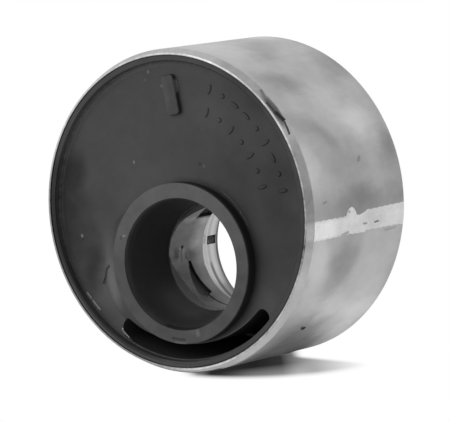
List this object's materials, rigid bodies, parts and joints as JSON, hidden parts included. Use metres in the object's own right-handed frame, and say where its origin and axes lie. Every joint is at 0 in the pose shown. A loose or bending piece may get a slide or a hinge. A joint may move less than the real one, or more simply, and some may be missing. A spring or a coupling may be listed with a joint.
{
  "type": "rubber metal bush",
  "caption": "Round rubber-to-metal bush: a steel outer sleeve, a moulded rubber body with an off-centre collar and a crescent void, and a steel inner sleeve with a plain bore.",
  "frame": {"origin": "on the outer sleeve's axis at its back end, which the bush stands on", "axes": "+Z along the outer sleeve's axis towards the front face with the collar; the bore is offset towards -Y, and so is the crescent void; the index bar is towards +Y"},
  "size_m": [0.066, 0.066, 0.0364],
  "materials": {
    "sleeve_steel": "dull mill steel, mottled, with a weld seam",
    "black_rubber": "moulded, satin, slightly dusty",
    "inner_steel": "dull, mottled grey"
  },
  "bodies": {
    "root": {"outer_sleeve": "sleeve_steel", "rubber_body": "black_rubber", "inner_sleeve": "inner_steel"}
  },
  "joints": []
}
